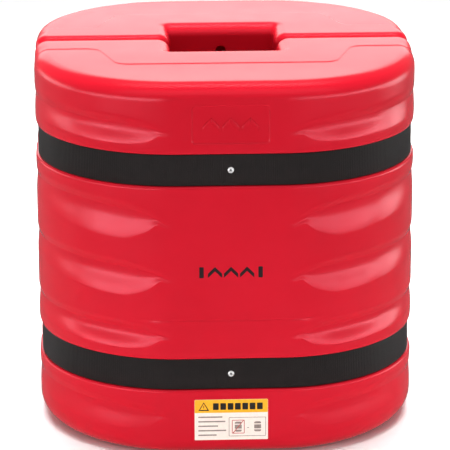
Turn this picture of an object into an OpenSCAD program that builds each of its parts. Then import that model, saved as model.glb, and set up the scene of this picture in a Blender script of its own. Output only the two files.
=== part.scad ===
// Column guard: two identical hollow C-shaped polyethylene mouldings closed round a square
// column by two hook-and-loop straps, each riveted to the front moulding at its middle.
// Millimetres, +Z up, origin on the floor under the middle of the column opening.
// The front half lies at negative Y and the rear half at positive Y.

/* [Body] */
// Width and depth across the flats
body_w = 610; // [560:1:660]
// Height of the outer rim of the top face
rim_h = 607; // [600:1:650]
// How far the raised panel on the top face stands above the rim
panel_rise = 3; // [1:0.5:6]
// Plan radius of the four big corners
corner_r = 226; // [200:1:240]
// Radius of the rounded top outer edge
top_edge_r = 31; // [20:1:40]
// Radius of the rounded bottom outer edge
bottom_edge_r = 30; // [20:1:40]
// Wall thickness of the moulding
wall = 4; // [3:0.5:5]

/* [Column opening] */
// Side of the square opening for the column
opening_w = 171; // [160:1:180]
// Radius of the rounded edge where the opening meets the top and bottom faces
opening_edge_r = 13; // [6:1:14]
// Diameter of the air vent in the wall that faces the column
vent_d = 16; // [8:1:20]
// Height of the air vent
vent_z = 560; // [545:1:575]

/* [Seam] */
// Gap between the two halves
seam_gap = 12; // [8:1:14]
// Radius of the rounded top and bottom edges of the seam faces
seam_edge_r = 14; // [8:1:18]
// Plan radius of the upright edges of the seam faces
seam_corner_r = 22; // [14:1:24]

/* [Ribs] */
// Depth of the shallow valleys that run round the corners and sides
valley_depth = 2.2; // [1:0.1:3]
// Height of a valley, flank to flank
valley_w = 40; // [24:1:50]

/* [Straps] */
// Width of the webbing
strap_w = 50; // [38:1:51]
// Thickness of the webbing
web_t = 1.9; // [1.5:0.1:2]
// Height of the middle of the lower strap
lower_z = 136.5; // [120:0.5:150]
// Height of the middle of the upper strap
upper_z = 470; // [460:0.5:480]
// Depth of the groove that each strap lies in
groove_depth = 6.4; // [6.4:0.1:8]
// How far each strap end reaches past the middle of the back
overlap_half = 75; // [50:1:78]
// Length of the pull tab past the hook patch
tab_len = 24; // [10:1:40]
// Thickness of the loop patch
loop_t = 1.1; // [0.8:0.1:1.2]
// Thickness of the hook patch
hook_t = 1.0; // [0.8:0.1:1.1]

/* [Rivets] */
// Diameter of the rivet's domed head
rivet_head_d = 10; // [8:0.5:14]
// Diameter of the rivet's shank
rivet_shank_d = 4.8; // [4:0.1:6.4]

/* [Markings] */
// Width of the information label
label_w = 116; // [80:1:120]
// Height of the information label
label_h = 68; // [40:1:70]
// Height of the label's lower edge
label_z = 27; // [26:1:30]
// Width of the sunk name panel
plate_w = 119; // [80:1:130]
// Height of the sunk name panel
plate_h = 60; // [40:1:64]
// Height of the middle of the sunk name panel
plate_z = 543; // [540:1:546]
// Height of the middle of the printed arrow marks
mark_z = 306; // [290:1:320]

/* [Hidden] */
$fn = 96;
eps = 0.01;
big = 2000;
half_w = body_w / 2;
flat = half_w - corner_r;            // half length of each flat side
total_h = rim_h + panel_rise;
seam_y = -seam_gap / 2;              // seam face of the front half
opening_half = opening_w / 2;
inner_top = rim_h - wall;

// valley heights, from the floor up
valley_z = [83, 214, 315, 413, 545];
valley_r = valley_w * valley_w / (8 * valley_depth);
// the valley ring's middle is set back from the corner's, so the valley fades out at the front
fade_x = 6.8;
fade_y = 4.2;
valley_ring_r = half_w - valley_depth - (flat - fade_x);

// groove
groove_w = strap_w + 2;
lip_r = 8;

// layers, measured inwards from the body's flats and corners
web_gap = 0.2;                       // webbing to groove floor
patch_gap = 0.25;                    // loop face to hook face
web_in = groove_depth - web_gap;
web_out = web_in - web_t;
loop_out = web_out - loop_t;
hook_in = loop_out - patch_gap;
hook_web_in = hook_in - hook_t;
patch_w = strap_w - 4;

// distance round the body from the middle of the front, along the body's own outline
corner_len = PI / 2 * corner_r;
s_front = flat;                      // front flat ends
s_side = s_front + corner_len;       // side flat starts
s_hinge = s_side + flat;             // middle of the side
s_back = s_hinge + flat;             // side flat ends
s_rear = s_back + corner_len;        // rear flat starts
s_end = s_rear + flat;               // middle of the back
path_step = corner_len / 36;
turn_r = web_t / 2;
turn_gap = 1.1;                      // leaves room for an arm folded back past square
climb_start = s_rear - 95;
climb_end = s_end - overlap_half - 6;

// plan of the raised panel on top; the slab is deeper than the rounded edge
panel_slab = 80;
panel_cut = 34;
panel_y = 175;
panel_x = 172;
arm_y = 74;
arm_x = 204;

// markings
plate_depth = 0.8;
plate_r = 6;
label_t = 0.25;
label_r = 1.5;
mark_t = 0.15;
arrow_w = 22;
arrow_h = 18;
arrow_gap = 3;
arrow_stroke = 7;
bar_x = 46;

// rivets
hole_gap = 0.1;
dome_r = 8.2;
dome_drop = 6.5;                     // middle of the dome's sphere below the webbing's face
grip = web_t + web_gap + wall;       // what the rivet holds together
blind_len = 5;                       // shank past the wall
bulge_d = 8;
bulge_h = 4.5;
bulge_drop = 3;
pin_r = 1.38;
pin_bore_r = 1.4;
pin_out = 0.9;
pin_head_h = 2.5;
pin_head_r1 = 1.6;
pin_head_r2 = 2.4;

body_red = "#d3212f";
strap_black = "#282221";

// ---------- profiles, in the plane of a wall's section: X outwards, Y up ----------

// what a rounded corner of radius r leaves over; the corner's own point is the origin
module corner_waste(r) {
    difference() {
        translate([-r, -r]) square(r + eps);
        translate([-r, -r]) circle(r);
    }
}

// section from the corner axis out to the wall, with the rounded top and bottom edges
module rim_section(inset, floor_z, top_z) {
    r = corner_r - inset;
    difference() {
        translate([0, floor_z]) square([r, top_z - floor_z]);
        translate([r, top_z]) corner_waste(top_edge_r - inset);
        translate([r, floor_z]) mirror([0, 1]) corner_waste(bottom_edge_r - inset);
    }
}

// one strap groove, with its rounded lips
module groove_section(z, depth, width, lip) {
    translate([corner_r - depth, z - width / 2]) square([depth + 10, width]);
    for (side = [-1, 1])
        translate([corner_r, z + side * width / 2]) scale([1, -side]) corner_waste(lip);
}

module outer_section() {
    difference() {
        rim_section(0, 0, rim_h);
        for (z = [lower_z, upper_z]) groove_section(z, groove_depth, groove_w, lip_r);
    }
}

module cavity_section() {
    difference() {
        rim_section(wall + valley_depth, wall, inner_top);
        for (z = [lower_z, upper_z])
            translate([corner_r - groove_depth - wall, z - groove_w / 2 - wall])
                square([groove_depth + wall, groove_w + 2 * wall]);
    }
}

// ---------- solids of the moulding ----------

// carries a section round the front half: two corners, the front flat and the side flats
module sweep_front() {
    for (side = [0, 1]) mirror([side, 0, 0]) {
        translate([flat, -flat, 0]) rotate([0, 0, -90]) rotate_extrude(angle = 90) children();
        translate([flat, -flat, 0]) rotate([90, 0, 0]) rotate([0, 180, 0]) mirror([1, 0, 0])
            linear_extrude(flat) children();
    }
    translate([flat, -flat, 0]) rotate([90, 0, -90]) linear_extrude(2 * flat) children();
}

// block between the four corner axes, front half
module core_block(floor_z, top_z) {
    translate([-flat, -flat, floor_z]) cube([2 * flat, flat, top_z - floor_z]);
}

module outer_body() {
    sweep_front() outer_section();
    core_block(0, rim_h);
}

module panel_plan() {
    polygon([
        [-half_w, arm_y], [-arm_x, arm_y], [-panel_x, panel_y], [panel_x, panel_y],
        [arm_x, arm_y], [half_w, arm_y], [half_w, -arm_y], [arm_x, -arm_y],
        [panel_x, -panel_y], [-panel_x, -panel_y], [-arm_x, -arm_y], [-half_w, -arm_y]
    ]);
}

// the raised panel is the body's own top, lifted, inside the panel's plan
module raised_panel() {
    intersection() {
        translate([0, 0, panel_rise]) {
            sweep_front() rim_section(0, rim_h - panel_slab, rim_h);
            core_block(rim_h - panel_slab, rim_h);
        }
        translate([0, 0, rim_h - panel_cut]) linear_extrude(panel_cut + 2 * panel_rise) panel_plan();
    }
}

// front of the seam, with the rounded edges of the seam faces
module seam_side() {
    rotate([90, 0, 90]) translate([0, 0, -half_w - 1]) linear_extrude(body_w + 2) difference() {
        translate([-half_w - 1, 0]) square([half_w + 1 + seam_y, total_h]);
        translate([seam_y, total_h]) corner_waste(seam_edge_r);
        translate([seam_y, 0]) mirror([0, 1]) corner_waste(seam_edge_r);
    }
}

// upright rounded edges of the seam faces, at the outside and at the opening
module seam_uprights() {
    for (side = [0, 1]) mirror([side, 0, 0]) translate([0, 0, -1]) linear_extrude(total_h + 2) {
        translate([half_w, seam_y]) corner_waste(seam_corner_r);
        translate([opening_half, seam_y]) mirror([1, 0]) corner_waste(seam_corner_r);
    }
}

// rounded edge of the opening at one face: a bar along each wall and a trumpet in each corner
module opening_edge() {
    r = opening_edge_r;
    for (side = [0, 1]) mirror([side, 0, 0]) {
        translate([opening_half, 0, total_h]) rotate([90, 0, 0])
            linear_extrude(opening_half) mirror([1, 0]) corner_waste(r);
        translate([opening_half, -opening_half, total_h]) rotate([0, 0, -90])
            rotate_extrude(angle = 90) intersection() {
                mirror([1, 0]) corner_waste(r);
                translate([0, -big / 2]) square([big, big]);
            }
    }
    translate([-opening_half, -opening_half, total_h]) rotate([90, 0, 90])
        linear_extrude(opening_w) corner_waste(r);
}

module opening_cut() {
    translate([-opening_half, -opening_half, -1]) cube([opening_w, opening_half + 1, total_h + 2]);
    opening_edge();
    translate([0, 0, total_h]) mirror([0, 0, 1]) opening_edge();
}

// one valley: level along the side, then round the corner until it fades into the front
module valley(z) {
    ring = valley_ring_r + valley_r;
    for (side = [0, 1]) mirror([side, 0, 0]) translate([flat - fade_x, -flat + fade_y, z]) {
        rotate([0, 0, -90]) rotate_extrude(angle = 90) translate([ring, 0]) circle(valley_r);
        translate([ring, 0, 0]) rotate([-90, 0, 0]) cylinder(r = valley_r, h = flat);
    }
}

module rounded_plate(w, h, r, t) {
    linear_extrude(t) difference() {
        square([w, h], center = true);
        for (x = [0, 1], y = [0, 1]) mirror([x, 0]) mirror([0, y])
            translate([w / 2, h / 2]) corner_waste(r);
    }
}

// a plate that faces the front, its outer face at distance y_face before the middle
module on_front(z, y_face) {
    translate([0, -y_face, z]) rotate([90, 0, 0]) children();
}

module cavity() {
    intersection() {
        union() {
            sweep_front() cavity_section();
            core_block(wall, inner_top);
        }
        translate([-half_w, -half_w, 0]) cube([body_w, half_w + seam_y - wall, total_h]);
        difference() {
            translate([-half_w, -half_w, 0]) cube([body_w, half_w, total_h]);
            translate([-opening_half - wall, -opening_half - wall, -1])
                cube([opening_w + 2 * wall, opening_half + wall, total_h + 2]);
            // the rounded edges of the seam and the opening need their own wall
            for (side = [0, 1]) mirror([side, 0, 0]) translate([0, 0, -1])
                linear_extrude(total_h + 2)
                    translate([opening_half, seam_y - seam_corner_r / 2]) square(seam_corner_r / 2);
            for (z = [0, total_h - opening_edge_r - 1])
                translate([-opening_half - opening_edge_r, -opening_half - opening_edge_r, z - 1])
                    cube([opening_w + 2 * opening_edge_r, opening_half, opening_edge_r + 2]);
            for (z = [0, total_h - seam_edge_r - 1])
                translate([-half_w, seam_y - seam_edge_r, z - 1])
                    cube([body_w, seam_edge_r, seam_edge_r + 2]);
        }
    }
}

// one moulding, in the front half's place; holes are for the two rivets and the air vent
module moulding() {
    difference() {
        intersection() {
            union() {
                outer_body();
                raised_panel();
            }
            seam_side();
        }
        seam_uprights();
        opening_cut();
        for (z = valley_z) valley(z);
        on_front(plate_z, half_w - plate_depth) rounded_plate(plate_w, plate_h, plate_r, 2);
        cavity();
        on_front(vent_z, opening_half - 1) cylinder(d = vent_d, h = wall + 2);
        for (z = [lower_z, upper_z])
            on_front(z, half_w - groove_depth - wall - 1)
                cylinder(d = rivet_shank_d + hole_gap, h = wall + 2);
    }
}

module front_shell() {
    color(body_red) moulding();
}

module rear_shell() {
    color(body_red) rotate([0, 0, 180]) moulding();
}

// ---------- markings ----------

module information_label() {
    color("#f0e1d7") on_front(label_z + label_h / 2, half_w)
        rounded_plate(label_w, label_h, label_r, label_t);
}

// three plain chevrons that point up, and a bar either side
module printed_arrows() {
    color("#201010") on_front(mark_z, half_w) linear_extrude(mark_t) {
        for (i = [-1, 0, 1]) translate([i * (arrow_w + arrow_gap), -arrow_h / 2]) polygon([
            [-arrow_w / 2, 0], [0, arrow_h - arrow_stroke], [arrow_w / 2, 0],
            [arrow_w / 2, arrow_stroke], [0, arrow_h], [-arrow_w / 2, arrow_stroke]
        ]);
        for (side = [-1, 1])
            translate([side * bar_x, 0]) square([arrow_stroke, arrow_h], center = true);
    }
}

// ---------- straps ----------

// point of the body's outline at distance s from the middle of the front, set in by inset
function on_corner(centre, start, along, inset) =
    let (angle = start + along / corner_len * 90)
    centre + (corner_r - inset) * [cos(angle), sin(angle)];
function right_side(s, inset) =
    s < s_front ? [s, inset - half_w]
    : s < s_side ? on_corner([flat, -flat], -90, s - s_front, inset)
    : s < s_back ? [half_w - inset, s - s_hinge]
    : s < s_rear ? on_corner([flat, flat], 0, s - s_back, inset)
    : s < s_end + flat ? [s_end - s, half_w - inset]
    : on_corner([-flat, flat], 90, s - s_end - flat, inset);
function on_outline(s, inset) =
    s < 0 ? [-right_side(-s, inset)[0], right_side(-s, inset)[1]] : right_side(s, inset);

function smooth(t) = let (u = min(1, max(0, t))) u * u * (3 - 2 * u);
// how far the hook arm has climbed onto the loop arm, 0 to 1
function climb(s) = smooth((s - climb_start) / (climb_end - climb_start));

function stations(s0, s1) =
    let (n = ceil(abs(s1 - s0) / path_step)) [for (i = [0 : n]) s0 + (s1 - s0) * i / n];

// webbing from s0 to s1 round the outline; lift moves it outwards where it climbs
module webbing(s0, s1, z, lift = 0) {
    places = stations(s0, s1);
    inner = [for (s = places) on_outline(s, web_in - lift * climb(s))];
    outer = [for (s = places) on_outline(s, web_out - lift * climb(s))];
    back = [for (i = [len(outer) - 1 : -1 : 0]) outer[i]];
    translate([0, 0, z - strap_w / 2]) linear_extrude(strap_w) polygon(concat(inner, back));
}

// the turn line where an arm bends away from the front length of webbing
module turn_line(z) {
    translate([half_w - web_in + turn_r, 0, z - strap_w / 2]) cylinder(r = turn_r, h = strap_w);
}

module strap_front(z) {
    ends = s_hinge - turn_r - turn_gap;
    color(strap_black) difference() {
        webbing(-ends, ends, z);
        on_front(z, half_w - web_in - 1) cylinder(d = rivet_shank_d + hole_gap, h = web_t + 2);
    }
}

module strap_right_arm(z) {
    color(strap_black) union() {
        webbing(s_hinge, s_end + overlap_half + tab_len, z, web_in - hook_web_in);
        turn_line(z);
    }
}

module strap_left_arm(z) {
    color(strap_black) mirror([1, 0, 0]) union() {
        webbing(s_hinge, s_end + overlap_half, z);
        turn_line(z);
    }
}

// a sewn patch across the middle of the back
module patch(z, inset, t) {
    translate([0, half_w - inset + t / 2, z]) cube([2 * overlap_half, t, patch_w], center = true);
}

module loop_patch(z) {
    color("#332e2d") patch(z, web_out, loop_t);
}

module hook_patch(z) {
    color("#1d1a19") patch(z, hook_in, hook_t);
}

// ---------- rivets ----------

// section of the blind rivet: dome, shank and the bulge inside the wall, round its bore
module rivet_section() {
    difference() {
        union() {
            intersection() {
                translate([0, -dome_drop]) circle(dome_r);
                square([rivet_head_d / 2, dome_r]);
            }
            translate([0, -grip - blind_len]) square([rivet_shank_d / 2, grip + blind_len + eps]);
            translate([0, -grip - bulge_drop]) intersection() {
                circle(d = bulge_d);
                translate([0, bulge_drop - bulge_h]) square([bulge_d / 2, bulge_h]);
            }
        }
        translate([-1, -big / 2]) square([1 + pin_bore_r, big]);
    }
}

module rivet_body(z) {
    color("#d9dadb") on_front(z, half_w - web_out) rotate_extrude() rivet_section();
}

module rivet_mandrel(z) {
    color("#77797b") on_front(z, half_w - web_out) {
        translate([0, 0, -grip - blind_len]) cylinder(r = pin_r, h = grip + blind_len + pin_out);
        translate([0, 0, -grip - blind_len - pin_head_h])
            cylinder(r1 = pin_head_r1, r2 = pin_head_r2, h = pin_head_h);
    }
}

// ---------- nodes ----------

front_shell();
rear_shell();
information_label();
printed_arrows();
strap_front(upper_z);  // upper_strap_front
strap_left_arm(upper_z);  // upper_strap_left_arm
strap_right_arm(upper_z);  // upper_strap_right_arm
loop_patch(upper_z);  // upper_loop_patch
hook_patch(upper_z);  // upper_hook_patch
rivet_body(upper_z);  // upper_rivet_body
rivet_mandrel(upper_z);  // upper_rivet_mandrel
strap_front(lower_z);  // lower_strap_front
strap_left_arm(lower_z);  // lower_strap_left_arm
strap_right_arm(lower_z);  // lower_strap_right_arm
loop_patch(lower_z);  // lower_loop_patch
hook_patch(lower_z);  // lower_hook_patch
rivet_body(lower_z);  // lower_rivet_body
rivet_mandrel(lower_z);  // lower_rivet_mandrel
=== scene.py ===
"""Looks of the column guard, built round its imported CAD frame.

Lengths are in millimetres in the shape functions and turned into metres when a mesh is made.
The front half lies at negative Y. Distances along the body are measured from the middle of its
front, positive to the right, along its own outline.
"""

import math
import random

import bmesh
import bpy
import numpy as np
from mathutils import Matrix, Vector, geometry


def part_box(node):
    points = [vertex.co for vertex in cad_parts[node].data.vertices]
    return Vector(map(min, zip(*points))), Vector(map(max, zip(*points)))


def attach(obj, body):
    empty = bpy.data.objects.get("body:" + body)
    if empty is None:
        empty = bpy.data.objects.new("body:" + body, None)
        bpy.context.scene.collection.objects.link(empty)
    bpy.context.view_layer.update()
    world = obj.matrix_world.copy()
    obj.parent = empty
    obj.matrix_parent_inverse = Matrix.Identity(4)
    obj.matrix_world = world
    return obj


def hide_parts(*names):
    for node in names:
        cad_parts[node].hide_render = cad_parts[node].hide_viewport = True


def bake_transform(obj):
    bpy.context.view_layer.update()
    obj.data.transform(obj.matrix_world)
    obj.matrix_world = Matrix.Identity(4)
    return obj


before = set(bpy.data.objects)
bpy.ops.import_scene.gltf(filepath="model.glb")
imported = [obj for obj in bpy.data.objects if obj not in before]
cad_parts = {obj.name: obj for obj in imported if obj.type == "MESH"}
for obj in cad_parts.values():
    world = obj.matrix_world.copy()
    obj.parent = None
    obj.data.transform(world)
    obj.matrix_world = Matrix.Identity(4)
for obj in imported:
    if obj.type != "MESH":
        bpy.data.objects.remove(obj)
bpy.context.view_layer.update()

# ---------- sizes, from the frame where it holds them ----------

MM = 0.001
shell_low, shell_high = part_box("front_shell")
HALF_W = -shell_low.y / MM
TOTAL_H = shell_high.z / MM
SEAM_Y = shell_high.y / MM
CORNER_R = 226.0
PANEL_RISE = 3.0
RIM_H = TOTAL_H - PANEL_RISE
FLAT = HALF_W - CORNER_R
OPENING_HALF = 85.5
TOP_EDGE_R = 26.0
BOTTOM_EDGE_R = 30.0
BOTTOM_SIDE_EXTRA = 9.0
OPENING_EDGE_R = 13.0
OPENING_TOP_R = 20.0
# rounded top and bottom edges where the outer wall turns in, and along the seam's face
TURN_EDGE_R = 19.0
SEAM_EDGE_R = 14.0
SEAM_CORNER_R = 22.0
OPENING_CORNER_R = 3.0
# the air vent's height, radius and length, and half of the square of the wall round it
VENT_Z, VENT_R, VENT_LENGTH, VENT_SQUARE = 566.0, 8.0, 26, 12.0

CORNER_LEN = math.pi / 2 * CORNER_R
S_FRONT = FLAT
S_SIDE = S_FRONT + CORNER_LEN
S_HINGE = S_SIDE + FLAT
S_BACK = S_HINGE + FLAT
S_REAR = S_BACK + CORNER_LEN
S_END = S_REAR + FLAT


def middle_z(node):
    """Height of the middle of a CAD node, in millimetres."""
    low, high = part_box(node)
    return (low.z + high.z) / 2 / MM


UPPER_Z = middle_z("upper_strap_front")
LOWER_Z = middle_z("lower_strap_front")
STRAP_W = 50.0
WEB_T = 1.9
GROOVE_DEPTH = 6.4
GROOVE_ABOVE = STRAP_W / 2 + 1
GROOVE_BELOW = STRAP_W / 2 + 0.3
# height of the groove's rounded lips, and the share of its depth that they take up
LIP_ABOVE, LIP_BELOW = 13.0, 5.0
LIP_SHARE_ABOVE, LIP_SHARE_BELOW = 0.42, 0.5
# distances that the webbing's and the tapes' faces lie inside the outline
WEB_OUT = 4.3
WEB_IN = 6.2
HOOK_WEB_IN = 1.95
HOOK_IN = 2.95
OVERLAP_HALF = 75.0
TAB_LEN = 24.0

# Creases of the ribs: height at the side, depth there, drop towards the tip at the front, and how
# much the slope below spreads in the corner.
CREASES = [
    (83.0, 1.5, 20.0, 0.6),
    (214.0, 2.4, 16.0, 0.42),
    (315.0, 2.4, 23.0, 1.0),
    (413.0, 2.0, 34.0, 1.2),
    (545.0, 1.5, 16.0, 0.32),
]


# ---------- small helpers ----------

def smooth(t):
    """0 below 0, 1 above 1, an S curve between."""
    u = np.clip(t, 0, 1)
    return u * u * (3 - 2 * u)


def outline(s, inset=0.0):
    """Points and outward normals of the body's outline at distances s, set in by inset."""
    s = np.asarray(s, float)
    a = np.abs(s)
    side = np.where(s < 0, -1.0, 1.0)
    turned = (np.clip(a - S_FRONT, 0, CORNER_LEN) + np.clip(a - S_BACK, 0, CORNER_LEN)
              + np.clip(a - S_END - FLAT, 0, CORNER_LEN)) / CORNER_R
    angle = turned - math.pi / 2
    cx = np.clip(a, 0, FLAT) - np.clip(a - S_REAR, 0, 2 * FLAT)
    cy = np.clip(a - S_SIDE, 0, 2 * FLAT) - FLAT
    normal = np.stack([side * np.cos(angle), np.sin(angle)], -1)
    centre = np.stack([side * cx, cy], -1)
    return centre + (CORNER_R - inset) * normal, normal


def new_object(name, data):
    obj = bpy.data.objects.new(name, data)
    bpy.context.scene.collection.objects.link(obj)
    return obj


def mesh_object(name, verts, faces, material, smooth_angle):
    """A piece from points in millimetres, smooth except at edges sharper than smooth_angle."""
    mesh = bpy.data.meshes.new(name)
    mesh.from_pydata([tuple(v) for v in np.asarray(verts, float) * MM], [], faces)
    mesh.validate()
    mesh.polygons.foreach_set("use_smooth", [True] * len(mesh.polygons))
    obj = new_object(name, mesh)
    if material is not None:
        mesh.materials.append(material)
    if smooth_angle < 180:
        mesh.set_sharp_from_angle(angle=math.radians(smooth_angle))
    return obj


def ring_faces(count, rings, start=0):
    """Quads between rings of count points each, which follow one another from point start."""
    return [(a + i, a + (i + 1) % count, a + count + (i + 1) % count, a + count + i)
            for a in range(start, start + count * (rings - 1), count) for i in range(count)]


def fix_normals(obj, merge=0.0):
    """Turn all faces outwards, with points closer than merge joined first."""
    bm = bmesh.new()
    bm.from_mesh(obj.data)
    if merge:
        bmesh.ops.remove_doubles(bm, verts=bm.verts, dist=merge)
    bmesh.ops.recalc_face_normals(bm, faces=bm.faces)
    bm.to_mesh(obj.data)
    bm.free()


def spread(start, stop, step):
    """Even stations from start to stop, no further apart than step, without the last one."""
    count = max(1, math.ceil(abs(stop - start) / step - 1e-9))
    return [start + (stop - start) * i / count for i in range(count)]


def unique_sorted(values, gap=0.15):
    """Sorted values with near doubles dropped."""
    kept = []
    for v in sorted(values):
        if not kept or v - kept[-1] > gap:
            kept.append(v)
    return kept


# ---------- relief of the outer wall ----------

def groove_depth(z):
    """Depth of the strap grooves at height z, with rounded lips."""
    depth = np.zeros_like(z)
    for middle in (LOWER_Z, UPPER_Z):
        u = z - middle
        lip = np.where(u > 0, LIP_ABOVE, LIP_BELOW)
        floor_half = np.where(u > 0, GROOVE_ABOVE, GROOVE_BELOW)
        beyond = np.clip((np.abs(u) - floor_half) / lip, 0, 1)
        edge = np.where(u > 0, LIP_SHARE_ABOVE, LIP_SHARE_BELOW) * GROOVE_DEPTH
        rounding = edge * (1 - np.sqrt(1 - (1 - beyond) ** 2))
        depth = np.maximum(depth, np.where(beyond <= 0, GROOVE_DEPTH, rounding))
    return depth


def soft_curve(angles, values):
    """A smooth curve close to the given points, as a function of the angle round the corner."""
    low, high, step, reach, blur = -30, 120, 0.25, 24, 2.2
    count = int((high - low) / step) + 1
    grid = np.linspace(low, high, count)
    kernel = np.exp(-0.5 * (np.arange(-reach, reach + 1) * step / blur) ** 2)
    wide = np.linspace(low - reach * step, high + reach * step, count + 2 * reach)
    padded = np.interp(wide, angles, values)
    line = np.convolve(padded, kernel / kernel.sum(), "valid")
    return lambda angle: np.interp(angle, grid, line)


# round the corner, from the front (0) to the side (90 degrees), for a drop and a spread of 1
RIB_ANGLES = [0, 3.5, 12, 22, 34, 49, 70, 90]
CREASE_DROP = soft_curve(RIB_ANGLES, [-0.6, -1.0, -0.42, -0.2, -0.1, 0, 0, 0])
SLOPE_FOOT = soft_curve(RIB_ANGLES, [0, 4, 12, 25, 23, 17, 7, 0])
SLOPE_RISE = 13.5
SLOPE_HEAD = soft_curve(RIB_ANGLES, [9, 9, 12, 14, 14, SLOPE_RISE, SLOPE_RISE, SLOPE_RISE])
RIB_DEPTH = soft_curve(RIB_ANGLES, [0, 0, 1.3, 2.65, 3.0, 2.7, 1.6, 1.0])
SLOPE_LENGTH = 27.0
SHORTEST_SLOPE = 8
# where the ribs' tips start, how far they take to reach full length, and how long they start
TIP_ANGLE, TIP_SPAN, TIP_SHARE = 2.5, 12, 0.25


def corner_angle(s):
    """Degrees round the corner at distance s, 0 on the front and 90 on the side."""
    return np.clip((np.abs(s) - S_FRONT) / CORNER_LEN, 0, 1) * 90


def rib_landmarks(s):
    """For each rib: crease height, foot of the slope below it, head of the slope above, depth."""
    angle = corner_angle(s)
    marks = []
    for height, depth, drop, spread_share in CREASES:
        crease = height + drop * CREASE_DROP(angle)
        full_length = SLOPE_LENGTH + spread_share * SLOPE_FOOT(angle)
        tip = smooth(np.clip((angle - TIP_ANGLE) / TIP_SPAN, 0, 1) * (1 - TIP_SHARE) + TIP_SHARE)
        foot = crease - np.maximum(SHORTEST_SLOPE, full_length * tip + drop * CREASE_DROP(angle))
        marks.append((crease, foot, crease + SLOPE_HEAD(angle), depth * RIB_DEPTH(angle)))
    return marks


def slope_tables():
    """Profiles of the slope below a crease, 1 at the crease to 0 at the foot: side and corner."""
    t = np.linspace(0, 1, 201)
    side = (1 - t) ** 1.4
    # the corner's slope turns over slowly, is steepest in the middle and ends at a sharp foot
    turn_over = smooth((t - 0.04) / 0.42)
    ease = 1 - 0.35 * smooth((t - 0.6) / 0.35)
    tilt = turn_over * ease * smooth((1 - t) / 0.07)
    total = np.concatenate([[0], np.cumsum((tilt[1:] + tilt[:-1]) / 2)])
    return t, side, 1 - total / total[-1]


SLOPE_T, SLOPE_SIDE, SLOPE_CORNER = slope_tables()


def rib_relief(z, s):
    """Depth of the ribs' valleys at heights z, for the stations s."""
    # share of the corner's profile: all of it up to 40 degrees, none from 80 degrees on
    corner = smooth((80 - corner_angle(s)) / 40)
    total = np.zeros(len(s))
    for crease, foot, head, depth in rib_landmarks(s):
        down = np.clip((crease - z) / (crease - foot), 0, 1)
        up = np.clip((z - crease) / (head - crease), 0, 1)
        below = (1 - corner) * np.interp(down, SLOPE_T, SLOPE_SIDE) \
            + corner * np.interp(down, SLOPE_T, SLOPE_CORNER)
        total += depth * np.where(z < crease, below, (1 - up) ** 1.5)
    return total


def row_heights(z, s, fixed):
    """Where the row of points that is at height z on the side lies at each station."""
    marks = rib_landmarks(s)
    rows, real = [fixed[0]], [np.full(len(s), fixed[0])]
    knots = [(f, np.full(len(s), f)) for f in fixed[1:]]
    for (height, *_), (crease, foot, head, _) in zip(CREASES, marks):
        knots += [(height - SLOPE_LENGTH, foot), (height, crease), (height + SLOPE_RISE, head)]
    for row, place in sorted(knots, key=lambda k: k[0]):
        rows.append(row)
        real.append(np.maximum(place, real[-1] + 0.25 * (row - rows[-2])))
    rows, real = np.array(rows), np.array(real)
    k = int(np.clip(np.searchsorted(rows, z) - 1, 0, len(rows) - 2))
    share = (z - rows[k]) / (rows[k + 1] - rows[k])
    return real[k] + share * (real[k + 1] - real[k])


WITNESS_Z, WITNESS_HALF, WITNESS_DEPTH = 227.0, 165.0, 1.1
WITNESS_FADE, WITNESS_WIDTH = 50, 1.1


def witness_line(z, s):
    """Depth of the faint level groove across the front."""
    side = np.clip((WITNESS_HALF - np.abs(s)) / WITNESS_FADE, 0, 1)
    return WITNESS_DEPTH * smooth(side) * np.exp(-((z - WITNESS_Z) / WITNESS_WIDTH) ** 2)


PLATE_W, PLATE_H, PLATE_Z, PLATE_R = 119.0, 60.0, 543.0, 6.0
PLATE_DEPTH = 1.1
PLATE_SLOPE = 1.4
# distances beyond the panel's edge at which rows and columns of points follow it
PLATE_STEPS = (-7, -6, -4.5, -3, -1.8, -0.9, -0.35, 0.35, 0.9, 1.8)


def plate_depth(s, z):
    """Depth of the sunk name panel."""
    dx = np.abs(s) - PLATE_W / 2 + PLATE_R
    dz = np.abs(z - PLATE_Z) - PLATE_H / 2 + PLATE_R
    outside = np.hypot(np.maximum(dx, 0), np.maximum(dz, 0)) + np.minimum(np.maximum(dx, dz), 0)
    return PLATE_DEPTH * smooth(0.5 - (outside - PLATE_R) / PLATE_SLOPE)


# ---------- plan of one half ----------

PANEL_Y, PANEL_X, ARM_Y, ARM_X = 175.0, 172.0, 74.0, 204.0
PANEL_EDGE = [-2.2, -1.2, 0.0, 1.2, 2.2]
PANEL_STEP = 1.0
PANEL_TURN_R = 24
# the crown starts this far in front of the seam and is full after this length
CROWN_START, CROWN_LENGTH = 250, 160


def panel_share(offset):
    """0 outside the raised panel to 1 inside it, offset being the distance inside its edge."""
    return smooth(0.5 + offset / (2 * PANEL_EDGE[-1]))


def top_height(y, share):
    """Height of the top face: a gentle crown up to the seam, and the raised panel's step."""
    crown = (PANEL_RISE - PANEL_STEP) * smooth((y + CROWN_START) / CROWN_LENGTH)
    return RIM_H + PANEL_STEP * share + crown


def arc(cx, cy, r, a0, a1, count):
    """Points and normals of an arc, without its last point."""
    angles = np.radians([a0 + (a1 - a0) * i / count for i in range(count)])
    normal = np.stack([np.cos(angles), np.sin(angles)], -1)
    return np.array([cx, cy]) + r * normal, normal


def station(point, normal, top_r, bottom_r, s, shift=(0, 0), outer=0.0, raised=1.0):
    """A row of the plan: a point and its normal, the radii of its top and bottom edges, its
    distance along the outline, the way its relief is sunk, and its shares of the relief and of
    the raised panel."""
    return (*point, *normal, top_r, bottom_r, s, *shift, outer, raised)


MIRROR = np.array(station((-1, 1), (-1, 1), 1, 1, -1, (-1, 1), 1, 1))


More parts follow.
